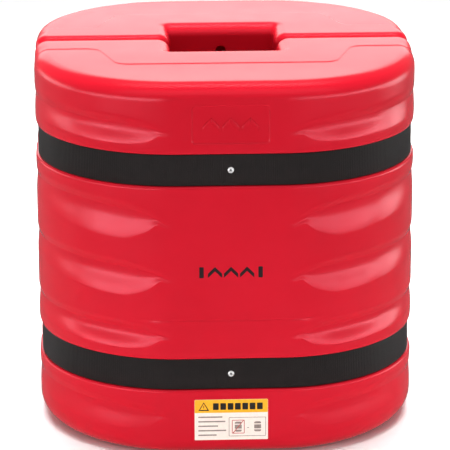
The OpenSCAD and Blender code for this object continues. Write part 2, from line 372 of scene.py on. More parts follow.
def half_plan():
    """Stations round the front half: outer wall left to right, seam, opening, seam."""
    rows, right = [], []
    end = S_HINGE - SEAM_CORNER_R + SEAM_Y
    turn_in = 42
    fine = [PLATE_W / 2 + d for d in PLATE_STEPS]
    crease = [S_HINGE - ARM_Y + d for d in PANEL_EDGE]
    stations = spread(0, S_FRONT, 7) + spread(S_FRONT, S_SIDE, 6.5) + spread(S_SIDE, end, 6)
    stations = [v for v in stations if min(abs(v - c) for c in fine + crease) > 0.5]
    stations = unique_sorted(stations + fine + crease)
    places = [-v for v in reversed(stations) if v > 0] + stations
    points, normals = outline(places)
    for s, p, n in zip(places, points, normals):
        near_seam = smooth((abs(s) - (end - turn_in)) / turn_in)
        top_r = TOP_EDGE_R + (TURN_EDGE_R - TOP_EDGE_R) * near_seam
        side_r = BOTTOM_EDGE_R + BOTTOM_SIDE_EXTRA * smooth(corner_angle(s) / 60)
        bottom_r = side_r + (TURN_EDGE_R - side_r) * near_seam
        raised = panel_share(p[1] + ARM_Y) if abs(s) > S_FRONT else 0.0
        rows.append(station(p, n, top_r, bottom_r, s, -n, 1.0, raised))
    # upright rounded edge at the outside of the seam, about (x0, y0)
    count = 8
    x0, x1, y0 = HALF_W - SEAM_CORNER_R, OPENING_HALF + SEAM_CORNER_R, SEAM_Y - SEAM_CORNER_R
    for i, (p, n) in enumerate(zip(*arc(x0, y0, SEAM_CORNER_R, 0, 90, count))):
        r = TURN_EDGE_R + (SEAM_EDGE_R - TURN_EDGE_R) * i / count
        right.append(station(p, n, r, r, end, (-1, 0), 1.0))
    # seam face
    for x in spread(x0, x1, 9):
        outer = 1 - smooth((x0 - x) / 70)
        right.append(station((x, SEAM_Y), (0, 1), SEAM_EDGE_R, SEAM_EDGE_R, end, (-1, 0), outer))
    # upright rounded edge at the opening
    count = 10
    for i, (p, n) in enumerate(zip(*arc(x1, y0, SEAM_CORNER_R, 90, 180, count))):
        top = SEAM_EDGE_R + (OPENING_TOP_R - SEAM_EDGE_R) * i / count
        right.append(station(p, n, top, OPENING_EDGE_R, end))
    # side wall of the opening, its corner, and half of its back wall
    cx, cy = OPENING_HALF - OPENING_CORNER_R, -OPENING_HALF + OPENING_CORNER_R
    wall = [((OPENING_HALF, y), (-1, 0)) for y in spread(y0, cy, 9)]
    wall += [(p, -n) for p, n in zip(*arc(cx, cy, OPENING_CORNER_R, 0, -90, 5))]
    back = spread(cx, VENT_SQUARE, 8) + [VENT_SQUARE * f for f in (1, 0.5)]
    wall += [((x, -OPENING_HALF), (0, 1)) for x in back]
    right += [station(p, n, OPENING_TOP_R, OPENING_EDGE_R, end) for p, n in wall]
    middle = station((0, -OPENING_HALF), (0, 1), OPENING_TOP_R, OPENING_EDGE_R, end)
    left = [MIRROR * row for row in reversed(right)]
    return np.array(rows + right + [middle] + left)


# heights at which the rows stay level all the way round
ROW_JOINTS = [0, 30, 102, 176, 435, 509.5, 572.3, RIM_H]
# between these heights and the rounded edges the rows spread to meet the edges' radii
LOW_JOIN, HIGH_JOIN = 44.0, ROW_JOINTS[-2]


def front_rows(heights):
    """The rows of points that lie at those heights on the front."""
    rows = np.arange(BOTTOM_EDGE_R, RIM_H - TOP_EDGE_R, 0.5)
    real = [row_heights(row, np.zeros(1), ROW_JOINTS)[0] for row in rows]
    return list(np.interp(heights, real, rows))


def wall_heights():
    """Heights of the rows of points up the wall, close together where the relief is fine."""
    base = spread(BOTTOM_EDGE_R, RIM_H - TOP_EDGE_R, 3) + [RIM_H - TOP_EDGE_R]
    special = []
    for middle in (LOWER_Z, UPPER_Z):
        for side, half, lip in ((-1, GROOVE_BELOW, LIP_BELOW), (1, GROOVE_ABOVE, LIP_ABOVE)):
            edge = middle + side * half
            special.append(edge - side * 0.3)
            special += [edge + side * d * lip for d in
                        (0.0, 0.03, 0.08, 0.16, 0.26, 0.4, 0.6, 0.8, 1.0)]
    for side in (-1, 1):
        edge = PLATE_Z + side * PLATE_H / 2
        special += front_rows([edge + side * d for d in PLATE_STEPS])
    special += front_rows([WITNESS_Z + d for d in (-3, -2.1, -1.4, -0.7, 0, 0.7, 1.4, 2.1, 3)])
    for crease, *_ in CREASES:
        special += [crease - SLOPE_LENGTH + d for d in (-1, 0, 1, 2)]
        special += [crease - 1.2, crease, crease + 1.2]
    base = [z for z in base if min(abs(z - c) for c in special) > 0.9]
    return np.array(unique_sorted(base + special, 0.1))


def half_points():
    """Rings of points from the bottom face's edge up to the top face's edge of the front half."""
    plan = half_plan()
    point, normal = plan[:, 0:2], plan[:, 2:4]
    top_r, bottom_r, s = plan[:, 4], plan[:, 5], plan[:, 6]
    shift, outer, raised = plan[:, 7:9], plan[:, 9], plan[:, 10]
    height = top_height(point[:, 1], raised)
    arc_steps = [math.radians(a) for a in range(0, 90, 9)]
    rings = []

    def edge_ring(inset, z):
        rings.append(np.column_stack([point - normal * inset[:, None], z]))

    for a in arc_steps:
        edge_ring(bottom_r * (1 - math.sin(a)), bottom_r * (1 - math.cos(a)))
    far = 1e3
    front_s = np.where(outer > 0, s, far)
    for z in wall_heights():
        real = np.full(len(plan), z)
        if z < LOW_JOIN:
            f = (z - BOTTOM_EDGE_R) / (LOW_JOIN - BOTTOM_EDGE_R)
            real = bottom_r + f * (LOW_JOIN - bottom_r)
        if z > HIGH_JOIN:
            f = (z - HIGH_JOIN) / (RIM_H - TOP_EDGE_R - HIGH_JOIN)
            real = HIGH_JOIN + f * (height - top_r - HIGH_JOIN)
        real = np.where(outer > 0, real + row_heights(z, s, ROW_JOINTS) - z, real)
        relief = groove_depth(real) + rib_relief(real, s)
        relief = relief * outer + plate_depth(front_s, real)
        relief += witness_line(real, front_s)
        xy = point + shift * relief[:, None]
        rings.append(np.column_stack([xy, real]))
    for a in arc_steps[1:] + [math.pi / 2]:
        edge_ring(top_r * (1 - math.cos(a)), height - top_r + top_r * math.sin(a))
    return plan, rings


def left_of(way):
    """A direction turned a quarter to the left."""
    return np.array([-way[1], way[0]])


def rounded_path(corners, radius):
    """Points and left-hand normals along straight runs joined by arcs of that radius."""
    step = 4.0
    pts = np.array(corners, float)
    out = []
    cursor = pts[0]
    for before, corner, after in zip(pts, pts[1:], pts[2:]):
        d0, d1 = ((b - a) / np.linalg.norm(b - a) for a, b in ((before, corner), (corner, after)))
        turn = math.atan2(d0[0] * d1[1] - d0[1] * d1[0], d0 @ d1)
        cut = radius * math.tan(abs(turn) / 2)
        enter = corner - d0 * cut
        centre = enter + left_of(d0) * (1 if turn > 0 else -1) * radius
        for f in spread(0, 1, step * 2 / max(1e-6, np.linalg.norm(enter - cursor))):
            out.append((cursor + (enter - cursor) * f, left_of(d0)))
        count = max(3, math.ceil(abs(turn) * radius / step))
        for k in range(count):
            b = turn * k / count
            rot = np.array([[math.cos(b), -math.sin(b)], [math.sin(b), math.cos(b)]])
            out.append((centre + rot @ (enter - centre), rot @ left_of(d0)))
        cursor = corner + d1 * cut
    out += [(cursor, left_of(d1)), (pts[-1], left_of(d1))]
    return [np.array(column) for column in zip(*out)]


def inside(points, loop):
    """Which points lie inside a closed loop."""
    x, y = points[:, 0][:, None], points[:, 1][:, None]
    x0, y0 = loop[:, 0], loop[:, 1]
    x1, y1 = np.roll(x0, -1), np.roll(y0, -1)
    crosses = (y0 > y) != (y1 > y)
    rise = np.where(y1 == y0, 1e-9, y1 - y0)
    return ((x < x0 + (y - y0) / rise * (x1 - x0)) & crosses).sum(1) % 2 == 1


def far_from(points, line, distance):
    """Which points keep at least that distance from all points of a line."""
    gap = np.hypot(points[:, None, 0] - line[None, :, 0], points[:, None, 1] - line[None, :, 1])
    return gap.min(1) > distance


def cap(ring, lines=(), shares=(), panel=None):
    """Cap inside a ring: points beyond the ring's own, and triangles over all of them.

    The lines run along the raised panel's edge, and panel is the loop round it.
    """
    count = len(ring)
    flat = [p[:2] for p in ring]
    edges = [(i, (i + 1) % count) for i in range(count)]
    heights = {}
    for line, share in zip(lines, shares):
        start = len(flat)
        for p in line:
            heights[len(flat)] = top_height(p[1], share)
            flat.append(p)
        edges += [(start + i, start + i + 1) for i in range(len(line) - 1)]
    if panel is not None:
        step, from_ring, from_lines = 13.0, 6, 5
        gx, gy = np.meshgrid(np.arange(-HALF_W, HALF_W, step), np.arange(-HALF_W, 0, step))
        grid = np.column_stack([gx.ravel(), gy.ravel()])
        keep = inside(grid, ring[:, :2]) & far_from(grid, ring[:, :2], from_ring)
        keep &= far_from(grid, np.vstack(lines), from_lines)
        grid = grid[keep]
        for p, within in zip(grid, inside(grid, panel)):
            heights[len(flat)] = top_height(p[1], float(within))
            flat.append(p)
    points = [Vector(p) for p in flat]
    verts, _, tris, origin, _, _ = geometry.delaunay_2d_cdt(points, edges, [], 1, 1e-3)
    index, new_points = {}, []
    for i, v in enumerate(verts):
        first = sorted(origin[i])
        if first and first[0] < count:
            index[i] = first[0]
        else:
            index[i] = count + len(new_points)
            new_points.append((v.x, v.y, heights[first[0]] if first else ring[0][2]))
    return new_points, [tuple(index[i] for i in t) for t in tris]


def build_half(name, material):
    """One moulding as a closed skin, in the front half's place."""
    plan, rings = half_points()
    count = len(plan)
    verts = [tuple(p) for ring in rings for p in ring]
    back = [i for i in range(count) if plan[i, 1] < -OPENING_HALF + 0.01 and plan[i, 3] > 0.9
            and abs(plan[i, 0]) <= VENT_SQUARE + 0.01]
    levels = np.array([ring[back[0], 2] for ring in rings])
    low = int(np.abs(levels - (VENT_Z - VENT_SQUARE)).argmin())
    high = int(np.abs(levels - (VENT_Z + VENT_SQUARE)).argmin())
    hole = {k * count + i for k in range(low, high) for i in back[:-1]}
    faces = [f for f in ring_faces(count, len(rings)) if f[0] not in hole]
    # air vent: square gap to round hole, then a pocket into the hollow
    first, last = back[0], back[-1]
    rim = [low * count + i for i in back]
    rim += [k * count + last for k in range(low + 1, high)]
    rim += [high * count + i for i in reversed(back)]
    rim += [k * count + first for k in range(high - 1, low, -1)]
    centre_z = (levels[low] + levels[high]) / 2
    angles = [math.atan2(verts[i][2] - centre_z, -verts[i][0]) for i in rim]
    previous = rim
    for radius, depth in ((VENT_R + 1.2, 0), (VENT_R + 0.35, 0.35), (VENT_R, 1.2),
                          (VENT_R, VENT_LENGTH)):
        ring = list(range(len(verts), len(verts) + len(rim)))
        verts += [(-radius * math.cos(a), -OPENING_HALF - depth, centre_z + radius * math.sin(a))
                  for a in angles]
        for i in range(len(rim)):
            j = (i + 1) % len(rim)
            faces.append((previous[i], previous[j], ring[j], ring[i]))
        previous = ring
    faces.append(tuple(previous))
    # top face with the raised panel's edge, bottom face
    edge_x = HALF_W - TOP_EDGE_R
    corners = [(-edge_x, -ARM_Y), (-ARM_X, -ARM_Y), (-PANEL_X, -PANEL_Y),
               (PANEL_X, -PANEL_Y), (ARM_X, -ARM_Y), (edge_x, -ARM_Y)]
    path, left = rounded_path(corners, PANEL_TURN_R)
    lines = [path + left * d for d in PANEL_EDGE]
    top = rings[-1]
    for line, d in zip(lines, PANEL_EDGE):
        for end, side in ((0, -1), (-1, 1)):
            match = np.hypot(top[:, 0] - side * edge_x, top[:, 1] + ARM_Y - d).argmin()
            line[end] = top[match, :2]
    base = (len(rings) - 1) * count
    shares = [float(panel_share(d)) for d in PANEL_EDGE]
    panel = np.vstack([path, [(edge_x, 0), (-edge_x, 0)]])
    extra, tris = cap(top, lines, shares, panel)
    start = len(verts)
    verts += extra
    faces += [tuple(base + i if i < count else start + i - count for i in t) for t in tris]
    extra, tris = cap(rings[0])
    faces += [tuple(reversed(t)) for t in tris]
    obj = mesh_object(name, verts, faces, material, 180)
    fix_normals(obj, 1e-6)
    obj.data.set_sharp_from_angle(angle=math.radians(50))
    weighted = obj.modifiers.new("even_normals", "WEIGHTED_NORMAL")
    weighted.keep_sharp = True
    return obj


# ---------- materials ----------

class Nodes:
    """A material's node tree, built by short calls."""

    def __init__(self, name):
        self.material = bpy.data.materials.new(name)
        self.material.use_nodes = True
        self.tree = self.material.node_tree
        self.shader = self.tree.nodes["Principled BSDF"]

    def add(self, kind, values=None, **settings):
        made = self.tree.nodes.new(kind)
        for key, value in settings.items():
            setattr(made, key, value)
        for key, value in (values or {}).items():
            made.inputs[key].default_value = value
        return made

    def link(self, source, target, output=0, input=0):
        self.tree.links.new(source.outputs[output], target.inputs[input])

    def set(self, **values):
        for key, value in values.items():
            self.shader.inputs[key.replace("_", " ")].default_value = value


def srgb(r, g, b):
    """A colour given as 0 to 255 screen values, as linear RGBA."""
    def linear(c):
        c = c / 255
        return c / 12.92 if c <= 0.04045 else ((c + 0.055) / 1.055) ** 2.4
    return (linear(r), linear(g), linear(b), 1)


def grey(value):
    return (value, value, value, 1)


def noise(n, scale, detail):
    """Noise in the object's own metres."""
    coords = n.add("ShaderNodeTexCoord")
    made = n.add("ShaderNodeTexNoise", {"Scale": scale, "Detail": detail, "Roughness": 0.5})
    n.link(coords, made, "Object", "Vector")
    return made


def mottle(n, scale, detail, stops, target="Base Color"):
    """Cloudy change between (noise value, colour) stops, on one of the shader's inputs."""
    curve = n.add("ShaderNodeValToRGB")
    for element, (at, colour) in zip(curve.color_ramp.elements, stops):
        element.position = at
        element.color = colour
    n.link(noise(n, scale, detail), curve)
    n.link(curve, n.shader, 0, target)


def bumps(n, layers):
    """Bump from (height source, distance in metres, strength) layers, chained."""
    last = None
    for source, distance, strength in layers:
        bump = n.add("ShaderNodeBump", {"Strength": strength, "Distance": distance})
        n.link(source, bump, 0, "Height")
        if last is not None:
            n.link(last, bump, 0, "Normal")
        last = bump
    n.link(last, n.shader, 0, "Normal")


def red_plastic():
    """Glossy red polyethylene with a faint peel and pink highlights."""
    n = Nodes("red_polyethylene")
    mottle(n, 5.0, 4, [(0.35, (0.53, 0.0064, 0.0175, 1)), (0.65, (0.57, 0.0076, 0.0203, 1))])
    mottle(n, 30.0, 4, [(0.3, grey(0.21)), (0.7, grey(0.26))], "Roughness")
    bumps(n, [(noise(n, 140.0, 2), 0.00004, 0.3)])
    n.set(Specular_IOR_Level=0.5, Specular_Tint=(1.0, 0.33, 0.42, 1))
    return n.material


def webbing_material():
    """Black webbing: rows of yarn along it, and a fine fuzz."""
    n = Nodes("black_webbing")
    yarn_pitch = 0.0011
    uv = n.add("ShaderNodeUVMap", uv_map="weave")
    split = n.add("ShaderNodeSeparateXYZ")
    n.link(uv, split)
    across = n.add("ShaderNodeMath", {1: 2 * math.pi / yarn_pitch}, operation="MULTIPLY")
    n.link(split, across, "Y")
    wave = n.add("ShaderNodeMath", operation="SINE")
    n.link(across, wave)
    mottle(n, 60.0, 3, [(0.3, (0.0062, 0.0034, 0.0031, 1)), (0.7, (0.0095, 0.0054, 0.0050, 1))])
    bumps(n, [(wave, 0.00024, 0.6), (noise(n, 1500.0, 2), 0.00016, 0.6)])
    n.set(Roughness=0.36, Specular_IOR_Level=0.34)
    return n.material


def tape_material(name, dark, light, roughness):
    n = Nodes(name)
    mottle(n, 400.0, 3, [(0.3, srgb(*dark)), (0.7, srgb(*light))])
    bumps(n, [(noise(n, 1800.0, 3), 0.0003, 0.7)])
    n.set(Roughness=roughness, Specular_IOR_Level=0.3, Sheen_Weight=0.2)
    return n.material


def metal_material(name, dark, light, low_rough, high_rough):
    n = Nodes(name)
    mottle(n, 700.0, 4, [(0.3, grey(dark)), (0.7, grey(light))])
    mottle(n, 1500.0, 3, [(0.3, grey(low_rough)), (0.7, grey(high_rough))], "Roughness")
    bumps(n, [(noise(n, 2500.0, 2), 0.00004, 0.5)])
    n.set(Metallic=0.55)
    return n.material


def print_material(name, dark, light, roughness=0.45):
    n = Nodes(name)
    mottle(n, 250.0, 4, [(0.35, srgb(*dark)), (0.65, srgb(*light))])
    bumps(n, [(noise(n, 900.0, 2), 0.00002, 0.5)])
    n.set(Roughness=roughness, Specular_IOR_Level=0.4)
    return n.material


RED = red_plastic()
WEBBING = webbing_material()
LOOP = tape_material("loop_pile", (30, 28, 28), (58, 54, 53), 0.85)
HOOK = tape_material("hook_tape", (20, 18, 18), (34, 32, 31), 0.42)
THREAD = tape_material("black_thread", (30, 28, 28), (62, 58, 56), 0.5)
ALUMINIUM = metal_material("rivet_aluminium", 0.9, 0.97, 0.24, 0.36)
STEEL = metal_material("mandrel_steel", 0.1, 0.18, 0.35, 0.5)
LABEL_INKS = [print_material("label_cream", (238, 222, 212), (243, 228, 218)),
              print_material("label_amber", (240, 168, 14), (246, 178, 26)),
              print_material("label_black", (24, 20, 18), (34, 30, 28)),
              print_material("label_grey", (132, 116, 108), (150, 134, 126)),
              print_material("label_red", (176, 70, 66), (190, 84, 78))]
INK = print_material("black_ink", (26, 8, 12), (38, 12, 16), 0.4)


# ---------- mouldings ----------

front = build_half("front_moulding", RED)
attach(front, "front_half")
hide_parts("front_shell")

rear = build_half("rear_moulding", RED)
rear.data.transform(Matrix.Rotation(math.pi, 4, "Z"))
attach(rear, "rear_half")
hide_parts("rear_shell")


# ---------- straps ----------

RIB_PITCH = 3.4
RIB_HEIGHT = 0.42
SELVAGE = 1.5


def webbing_section():
    """Outer side of the webbing: (offset across, share of thickness) from edge to edge."""
    half = STRAP_W / 2
    left = [(-half, 0.5), (-half + 0.15, 0.78), (-half + 0.5, 0.95), (-half + 1.2, 1.0),
            (-half + 3.0, 1.0)]
    return left + [(0.0, 1.0)] + [(-y, t) for y, t in reversed(left)]


def climb(s):
    """How far the hook arm has climbed onto the loop arm at distance s, from 0 to 1."""
    start, end = S_REAR - 95, S_END - OVERLAP_HALF - 6
    return smooth((np.abs(s) - start) / (end - start))


def build_webbing(name, s0, s1, z, lift=0.0):
    """A length of ribbed webbing along the outline. lift raises it where it climbs."""
    ribs = max(1, round(abs(s1 - s0) / RIB_PITCH))
    per_rib = 4
    places = np.linspace(s0, s1, ribs * per_rib + 1)
    wave = 0.5 - 0.5 * np.cos(2 * math.pi * np.arange(len(places)) / per_rib)
    section = webbing_section()
    inner_inset = WEB_IN - lift * climb(places)
    verts, uvs = [], []
    for i, s in enumerate(places):
        ring = []
        for y, t in section:
            rib = RIB_HEIGHT * (wave[i] - 1) * (abs(y) < STRAP_W / 2 - SELVAGE)
            ring.append((y, inner_inset[i] - WEB_T * t - rib))
        ring += [(y, inner_inset[i] - WEB_T * (1 - t)) for y, t in reversed(section[1:-1])]
        for y, inset in ring:
            (px, py), _ = outline(s, inset)
            verts.append((px, py, z + y))
            uvs.append((s * MM, y * MM))
    size = 2 * len(section) - 2
    faces = ring_faces(size, len(places))
    faces.append(tuple(range(size)))
    faces.append(tuple(reversed(range((len(places) - 1) * size, len(places) * size))))
    obj = mesh_object(name, verts, faces, WEBBING, 60)
    layer = obj.data.uv_layers.new(name="weave")
    loops = np.zeros(len(obj.data.loops), np.int64)
    obj.data.loops.foreach_get("vertex_index", loops)
    layer.data.foreach_set("uv", np.array(uvs, np.float32)[loops].ravel())
    fix_normals(obj)
    return obj


BEND_HALF = 34.0


def build_strap(level, z):
    """One strap: the front length, and the two arms that run on from beside the seams round the
    back.
    """
    join = S_HINGE - BEND_HALF
    front_part = build_webbing(f"{level}_webbing_front", -join, join, z)
    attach(front_part, "front_half")
    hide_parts(f"{level}_strap_front")
    left = build_webbing(f"{level}_webbing_left", -join, -(S_END + OVERLAP_HALF), z)
    right = build_webbing(f"{level}_webbing_right", join, S_END + OVERLAP_HALF + TAB_LEN, z,
                          WEB_IN - HOOK_WEB_IN)
    for obj, side, word in ((left, -1, "left"), (right, 1, "right")):
        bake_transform(obj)
        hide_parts(f"{level}_strap_{word}_arm")


build_strap("upper", UPPER_Z)
build_strap("lower", LOWER_Z)


# ---------- hook and loop patches, and their stitching ----------

CORNERS = ((-1, -1), (1, -1), (1, 1), (-1, 1))
LOOP_TAPE_T, HOOK_TAPE_T = 0.7, 0.5


def patch_plate(z, inset, thickness):
    """A thin patch with softened edges across the middle of the back."""
    half_x, half_z = OVERLAP_HALF - 1, (STRAP_W - 4) / 2
    y = HALF_W - inset
    verts = []
    rows = [(0.0, 0.0), (0.0, thickness * 0.6), (0.5, thickness * 0.92), (1.2, thickness)]
    for edge, lift in rows:
        verts += [(sx * (half_x - edge), y + lift, z + sz * (half_z - edge)) for sx, sz in CORNERS]
    last = 4 * (len(rows) - 1)
    faces = ring_faces(4, len(rows))
    faces.append((3, 2, 1, 0))
    faces.append(tuple(range(last, last + 4)))
    return verts, faces


def build_loop_patch(level, z):
    """Loop tape: a plate with a crop of small tufts."""
    verts, faces = patch_plate(z, WEB_OUT, LOOP_TAPE_T)
    rng = random.Random(7)
    rows, columns, pitch_x, pitch_z, stray = 24, 74, 1.98, 1.83, 0.5
    tuft, tuft_share = 0.8, 0.35
    y = HALF_W - WEB_OUT + 0.6
    for row in range(rows):
        for column in range(columns):
            cx = -OVERLAP_HALF + 3 + column * pitch_x + rng.uniform(-stray, stray)
            cz = z - 21 + row * pitch_z + rng.uniform(-stray, stray)
            turn = rng.uniform(0, math.pi)
            dx, dz = tuft * math.cos(turn), tuft * math.sin(turn)
            start = len(verts)
            high = y + rng.uniform(0.3, 0.5)
            verts += [(cx - dx, y, cz - dz), (cx + dz * tuft_share, y, cz - dx * tuft_share),
                      (cx + dx, y, cz + dz), (cx - dz * tuft_share, y, cz + dx * tuft_share),
                      (cx, high, cz)]
            faces += [(start + i, start + (i + 1) % 4, start + 4) for i in range(4)]
            faces.append((start + 3, start + 2, start + 1, start))
    obj = mesh_object(f"{level}_loop_tape", verts, faces, LOOP, 30)
    fix_normals(obj)
    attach(obj, f"{level}_left_arm")
    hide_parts(f"{level}_loop_patch")


def build_hook_patch(level, z):
    """Hook tape: a plate with rows of small bent hooks that face the body."""
    verts, faces = patch_plate(z, HOOK_IN, HOOK_TAPE_T)
    flat_in = HALF_W - HOOK_IN
    # the plate is turned over, so that its flat face meets the webbing outside it
    verts = [(px, 2 * flat_in + 2 * HOOK_TAPE_T - py, pz) for px, py, pz in verts]
    rows, columns, pitch_x, pitch_z = 22, 72, 2.03, 1.95
    half, height, lean = 0.22, 0.5, 0.32
    y = flat_in + 0.55
    for row in range(rows):
        for column in range(columns):
            cx = -OVERLAP_HALF + 3.2 + column * pitch_x
            cz = z - 20.5 + row * pitch_z
            start = len(verts)
            for level_y, side in ((y, 0), (y - height, lean if row % 2 else -lean)):
                verts += [(cx + sx * half + side, level_y, cz + sz * half) for sx, sz in CORNERS]
            faces.append((start, start + 3, start + 2, start + 1))
            faces.append(tuple(range(start + 4, start + 8)))
            faces += ring_faces(4, 2, start)
    obj = mesh_object(f"{level}_hook_tape", verts, faces, HOOK, 30)
    fix_normals(obj)
    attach(obj, f"{level}_right_arm")
    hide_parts(f"{level}_hook_patch")


def thread_run(verts, faces, x0, z0, x1, z1, inset):
    """Stitches from one point to another on the back, each a small rounded bead."""
    thick, stitch, gap, sides = 0.35, 2.6, 0.6, 6
    length = math.hypot(x1 - x0, z1 - z0)
    ux, uz = (x1 - x0) / length, (z1 - z0) / length
    count = int(length / (stitch + gap))
    profile = [(-stitch / 2, 0.15), (-stitch / 4, 0.9), (stitch / 4, 0.9), (stitch / 2, 0.15)]
    for i in range(count):
        at = (i + 0.5) * length / count
        start = len(verts)
        for along, share in profile:
            cx, cz = x0 + ux * (at + along), z0 + uz * (at + along)
            for a in range(sides):
                turn = a * math.pi / 3
                side = thick * share * math.cos(turn)
                lift = thick * share * math.sin(turn)
                (px, py), _ = outline(S_END - cx, inset - lift)
                verts.append((px - uz * side, py, cz + ux * side))
        faces += ring_faces(sides, len(profile), start)
        faces.append(tuple(reversed(range(start, start + sides))))
        faces.append(tuple(range(len(verts) - sides, len(verts))))


def build_stitching(level, word, z, inset):
    """Box stitch, sewn through the webbing round the patch."""
    verts, faces = [], []
    half_x, half_z = OVERLAP_HALF - 4, (STRAP_W - 4) / 2 - 3
    for side in (-1, 1):
        thread_run(verts, faces, -half_x, side * half_z + z, half_x, side * half_z + z, inset)
        thread_run(verts, faces, side * half_x, z - half_z, side * half_x, z + half_z, inset)
    obj = mesh_object(f"{level}_{word}_stitching", verts, faces, THREAD, 60)
    fix_normals(obj)
    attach(obj, f"{level}_{word}_arm")


for level, z in (("upper", UPPER_Z), ("lower", LOWER_Z)):
    build_loop_patch(level, z)
    build_hook_patch(level, z)
    build_stitching(level, "right", z, HOOK_WEB_IN - WEB_T)


# ---------- rivets ----------

def lathe(name, profile, z, material):
    """A turned piece on the strap's face. profile is (radius, distance out) from the middle."""
    turns = 48
    y_face = HALF_W - WEB_OUT
    verts, faces = [(0, -y_face - profile[0][1], z)], []
    for r, out in profile[1:]:
        for i in range(turns):
            a = 2 * math.pi * i / turns
            verts.append((r * math.cos(a), -y_face - out, z + r * math.sin(a)))
    for i in range(turns):
        faces.append((0, 1 + i, 1 + (i + 1) % turns))
    for k in range(len(profile) - 2):
        for i in range(turns):
            j = (i + 1) % turns
            a = 1 + k * turns
            faces.append((a + i, a + turns + i, a + turns + j, a + j))
    last = 1 + (len(profile) - 2) * turns
    faces.append(tuple(range(last, last + turns)))
    obj = mesh_object(name, verts, faces, material, 50)
    fix_normals(obj)
    return obj


def build_rivet(level, z):
    """Blind rivet: a domed flange, and the broken mandrel in its middle."""
    dome = [(0, -6.0), (1.85, -6.0), (1.85, 1.25), (2.0, 1.5), (2.3, 1.62), (3.0, 1.5), (3.7, 1.2),
            (4.3, 0.78), (4.75, 0.35), (4.95, 0.02), (4.9, -0.12), (2.4, -0.12), (2.4, -7.5)]
    pin = [(0, 0.75), (0.6, 0.72), (1.2, 0.6), (1.6, 0.35), (1.78, 0.0), (1.78, -5.8)]
    body = lathe(f"{level}_rivet_head", dome, z, ALUMINIUM)
    mandrel = lathe(f"{level}_rivet_pin", pin, z, STEEL)
    for obj, node, slot in ((body, "rivet_body", "rivet_aluminium"),
                            (mandrel, "rivet_mandrel", "mandrel_steel")):
        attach(obj, "front_half")
        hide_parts(f"{level}_{node}")


build_rivet("upper", UPPER_Z)
build_rivet("lower", LOWER_Z)


# ---------- label and printed marks ----------

class Sheet:
    """Flat printed shapes that face the front, in one mesh with several inks."""

    def __init__(self, cz):
        self.verts, self.faces, self.inks = [], [], []
        self.cz = cz

    def shape(self, points, ink, level, thick=0.05):
        """A flat closed outline, points counterclockwise as seen from the front."""
        start, n = len(self.verts), len(points)
        for depth in (level + thick, level - 0.02):
            self.verts += [(x, -HALF_W - depth, self.cz + z) for x, z in points]
        self.faces.append(tuple(range(start, start + n)))
        self.faces.append(tuple(reversed(range(start + n, start + 2 * n))))
        for i in range(n):
            j = (i + 1) % n
            self.faces.append((start + i, start + n + i, start + n + j, start + j))
        self.inks += [ink] * (n + 2)

    def bar(self, cx, cz, w, h, r, ink, level, thick=0.05):
        """A rectangle with rounded corners."""
        points = []
        steps = 5
        for sx, sz, a0 in ((1, 1, 0), (-1, 1, 90), (-1, -1, 180), (1, -1, 270)):
            for i in range(steps + 1):
                a = math.radians(a0 + 90 * i / steps)
                points.append((cx + sx * (w / 2 - r) + r * math.cos(a),
                               cz + sz * (h / 2 - r) + r * math.sin(a)))
        self.shape(points, ink, level, thick)

    def frame(self, cx, cz, w, h, line, ink, level):
        """Four bars that frame a rectangle."""
        for side in (1, -1):
            self.bar(cx, cz + side * h / 2, w, line, line * 0.4, ink, level)
        for side in (-1, 1):
            self.bar(cx + side * w / 2, cz, line, h, line * 0.4, ink, level)

    def make(self, name, materials):
        obj = mesh_object(name, self.verts, self.faces, None, 20)
        for m in materials:
            obj.data.materials.append(m)
        obj.data.polygons.foreach_set("material_index", self.inks)
        return obj


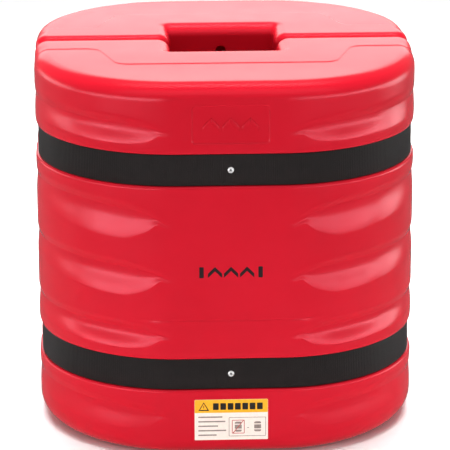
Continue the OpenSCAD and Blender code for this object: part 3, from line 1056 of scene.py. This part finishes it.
def build_label():
    """Generic information label: amber band over a pale field with plain bars and a pictogram."""
    low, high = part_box("information_label")
    w, h = (high.x - low.x) / MM, (high.z - low.z) / MM
    sheet = Sheet(middle_z("information_label"))
    cream, amber, black, grey_ink, red = range(len(LABEL_INKS))
    film, band_ink, ink, symbol, over = 0.02, 0.2, 0.25, 0.22, 0.03
    sheet.bar(0, 0, w, h, 1.5, cream, film, 0.18)
    band = h * 0.33
    top = h / 2
    sheet.bar(0, top - band / 2, w - 0.6, band - 0.4, 1.2, amber, band_ink)
    # plain triangle and a row of plain blocks in place of a heading
    tx, tz, side = -w * 0.375, top - band * 0.56, band * 0.66
    outer = [(tx - side * 0.58, tz - side * 0.42), (tx + side * 0.58, tz - side * 0.42),
             (tx, tz + side * 0.58)]
    sheet.shape(outer, black, ink, over)
    inner = [(tx + (x - tx) * 0.68, tz + (z - tz) * 0.68) for x, z in outer]
    sheet.shape(inner, amber, 0.28, over)
    sheet.bar(tx, tz + side * 0.02, 1.1, side * 0.3, 0.4, black, 0.31, 0.02)
    for i in range(7):
        sheet.bar(-w * 0.21 + i * w * 0.1, top - band * 0.52, w * 0.078, band * 0.5, 1.0,
                  black, ink, over)
    # bars in place of lines of small print
    first_line, line_pitch = 7, 7.6
    for i, share in enumerate((0.33, 0.37, 0.27, 0.38, 0.25)):
        length = w * share
        sheet.bar(-w * 0.45 + length / 2, top - band - first_line - i * line_pitch, length, 2.3,
                  0.5, grey_ink, band_ink, over)
    # pictogram box: a guard struck out in a square frame, and the guard alone
    bx, bz, bw, bh = w * 0.22, -h * 0.18, w * 0.5, h * 0.46
    sheet.frame(bx, bz, bw, bh, 0.9, grey_ink, band_ink)
    for cx, marked in ((bx - bw * 0.25, True), (bx + bw * 0.28, False)):
        sheet.bar(cx, bz, 11, 17, 2.5, grey_ink, symbol, over)
        for dz in (-4.2, 4.2):
            sheet.bar(cx, bz + dz, 11.2, 1.7, 0.3, cream, 0.26, over)
        if marked:
            sheet.frame(cx, bz, 19, 22, 1.1, red, symbol)
            stroke = 1.3
            sheet.shape([(cx - 9, bz - 10.5), (cx - 9 + stroke, bz - 11), (cx + 9, bz + 10.5),
                         (cx + 9 - stroke, bz + 11)], red, 0.3, over)
    sheet.bar(bx + bw * 0.02, bz - 2, 3.2, 1.1, 0.3, grey_ink, symbol, over)
    obj = sheet.make("information_label_print", LABEL_INKS)
    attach(obj, "front_half")
    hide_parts("information_label")


def chevron(x, z, w, h, stroke):
    """An arrow head that points up, as two slanted strokes."""
    return [[(x - w / 2, z), (x, z + h - stroke), (x, z + h), (x - w / 2, z + stroke)],
            [(x, z + h - stroke), (x + w / 2, z), (x + w / 2, z + stroke), (x, z + h)]]


def build_printed_arrows():
    """Three chevrons between two bars, printed on the front."""
    low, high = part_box("printed_arrows")
    w, h = (high.x - low.x) / MM, (high.z - low.z) / MM
    sheet = Sheet(middle_z("printed_arrows"))
    arrow_w, stroke, bar_w, gap = 22.0, 7.0, 7.0, 3
    ink, film, thick = 0, 0.02, 0.1
    for i in (-1, 0, 1):
        for part in chevron(i * (arrow_w + gap), -h / 2, arrow_w, h, stroke):
            sheet.shape(part, ink, film, thick)
    for side in (-1, 1):
        sheet.bar(side * (w / 2 - bar_w / 2), 0, bar_w, h, 1.2, ink, film, thick)
    obj = sheet.make("printed_arrow_marks", [INK])
    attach(obj, "front_half")
    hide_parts("printed_arrows")


def build_relief_marks():
    """Three raised chevrons moulded in the sunk panel, with softened edges."""
    verts, faces = [], []
    floor = HALF_W - PLATE_DEPTH
    pitch, arrow_w, arrow_h, stroke = 30, 26, 22, 8
    rings = ((1.0, -0.1), (0.99, 0.8), (0.95, 1.15), (0.88, 1.25))
    for i in (-1, 0, 1):
        for part in chevron(i * pitch, PLATE_Z - arrow_h / 2, arrow_w, arrow_h, stroke):
            start = len(verts)
            cx = sum(p[0] for p in part) / 4
            cz = sum(p[1] for p in part) / 4
            for grow, out in rings:
                verts += [(cx + (px - cx) * grow, -floor - out, cz + (pz - cz) * grow)
                          for px, pz in part]
            faces += ring_faces(4, len(rings), start)
            faces.append(tuple(range(len(verts) - 4, len(verts))))
            faces.append(tuple(reversed(range(start, start + 4))))
    obj = mesh_object("front_relief_marks", verts, faces, RED, 50)
    fix_normals(obj)
    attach(obj, "front_half")


build_label()
build_printed_arrows()
build_relief_marks()


# ---------- stage: floor, lights, camera ----------

def build_floor():
    """Plain pale matt floor."""
    half = 12.0
    mesh = bpy.data.meshes.new("floor")
    mesh.from_pydata([(sx * half, sy * half, 0) for sx, sy in CORNERS], [], [(0, 1, 2, 3)])
    floor = new_object("floor", mesh)
    n = Nodes("floor_white")
    mottle(n, 0.6, 2, [(0.3, grey(0.86)), (0.7, grey(0.9))])
    n.set(Roughness=0.9, Specular_IOR_Level=0.0)
    mesh.materials.append(n.material)
    floor.visible_glossy = False


def area_light(name, place, across, up, radiance):
    """A rectangular light of that radiance, facing down until it is turned."""
    data = bpy.data.lights.new(name, "AREA")
    data.shape = "RECTANGLE"
    data.size, data.size_y = across, up
    data.energy = radiance * math.pi * across * up
    light = new_object(name, data)
    light.location = place
    return light


def softbox(name, azimuth, width, low, high, radiance, fade=()):
    """A rectangular light that fills a window of directions as seen from the body's middle.

    azimuth and width are degrees round from the front, positive to the right. low and high are
    elevations in degrees. fade lists (share of the width from the left, brightness) pairs.
    """
    distance, middle_height = 5.0, 0.3
    across = 2 * distance * math.tan(math.radians(width / 2))
    z0, z1 = (middle_height + distance * math.tan(math.radians(e)) for e in (low, high))
    turn = math.radians(azimuth)
    place = Vector((distance * math.sin(turn), -distance * math.cos(turn), (z0 + z1) / 2))
    light = area_light(name, place, across, z1 - z0, radiance)
    light.rotation_euler = (Vector((0, 0, place.z)) - place).to_track_quat("-Z", "Y").to_euler()
    if not fade:
        return
    light.data.use_nodes = True
    tree = light.data.node_tree
    where = tree.nodes.new("ShaderNodeNewGeometry")
    split = tree.nodes.new("ShaderNodeSeparateXYZ")
    curve = tree.nodes.new("ShaderNodeValToRGB")
    tree.links.new(where.outputs["Parametric"], split.inputs[0])
    tree.links.new(split.outputs[0], curve.inputs[0])
    elements = curve.color_ramp.elements
    for share, brightness in fade:
        elements.new(share).color = grey(brightness)
    elements.remove(elements[0])
    elements.remove(elements[-1])
    tree.links.new(curve.outputs[0], tree.nodes["Emission"].inputs["Strength"])


def build_lights():
    """Low strips for the ribs' highlights, sides, back, front, and the main light on top."""
    strip = {"low": -3.4, "high": 2.5}
    softbox("softbox_left", -54, 84, **strip, radiance=14,
            fade=[(0.02, 0.1), (0.2, 0.25), (0.45, 0.9), (0.9, 1.0), (0.99, 0.3)])
    softbox("softbox_right", 51, 78, **strip, radiance=10.5,
            fade=[(0.01, 0.3), (0.1, 0.85), (0.5, 0.8), (0.8, 1.0), (0.99, 1.0)])
    softbox("side_right", 108, 38, low=-9, high=5, radiance=5.5,
            fade=[(0.02, 1.0), (0.5, 1.0), (0.98, 0.2)])
    softbox("side_left", -115, 50, low=-3.4, high=8, radiance=4,
            fade=[(0.02, 0.15), (0.5, 0.8), (0.98, 1.0)])
    softbox("back_wall", 180, 50, low=6, high=40, radiance=1.5)
    softbox("front_top", 0, 100, low=30, high=62, radiance=0.8)
    top = area_light("softbox_top", (0, 1.0, 3.0), 3.4, 2.8, radiance=3.0)
    top.data.spread = math.radians(62)
    top.visible_glossy = False
    world = bpy.data.worlds.new("studio")
    world.use_nodes = True
    background = world.node_tree.nodes["Background"]
    background.inputs["Color"].default_value = (1, 1, 1, 1)
    background.inputs["Strength"].default_value = 0.22
    bpy.context.scene.world = world


def build_camera():
    """A long lens a little above the body, nearly straight in front."""
    data = bpy.data.cameras.new("camera")
    data.sensor_width = 36
    data.lens = 215.8
    camera = new_object("camera", data)
    place = Matrix.Translation((-0.1746, -4.282, 1.619))
    pan, tilt, roll = math.radians(-2.38), math.radians(72.75), math.radians(-0.12)
    turn = Matrix.Rotation(pan, 4, "Z") @ Matrix.Rotation(tilt, 4, "X")
    camera.matrix_world = place @ turn @ Matrix.Rotation(roll, 4, "Z")
    bpy.context.scene.camera = camera


build_floor()
build_lights()
build_camera()
bpy.context.scene.view_settings.view_transform = "Standard"
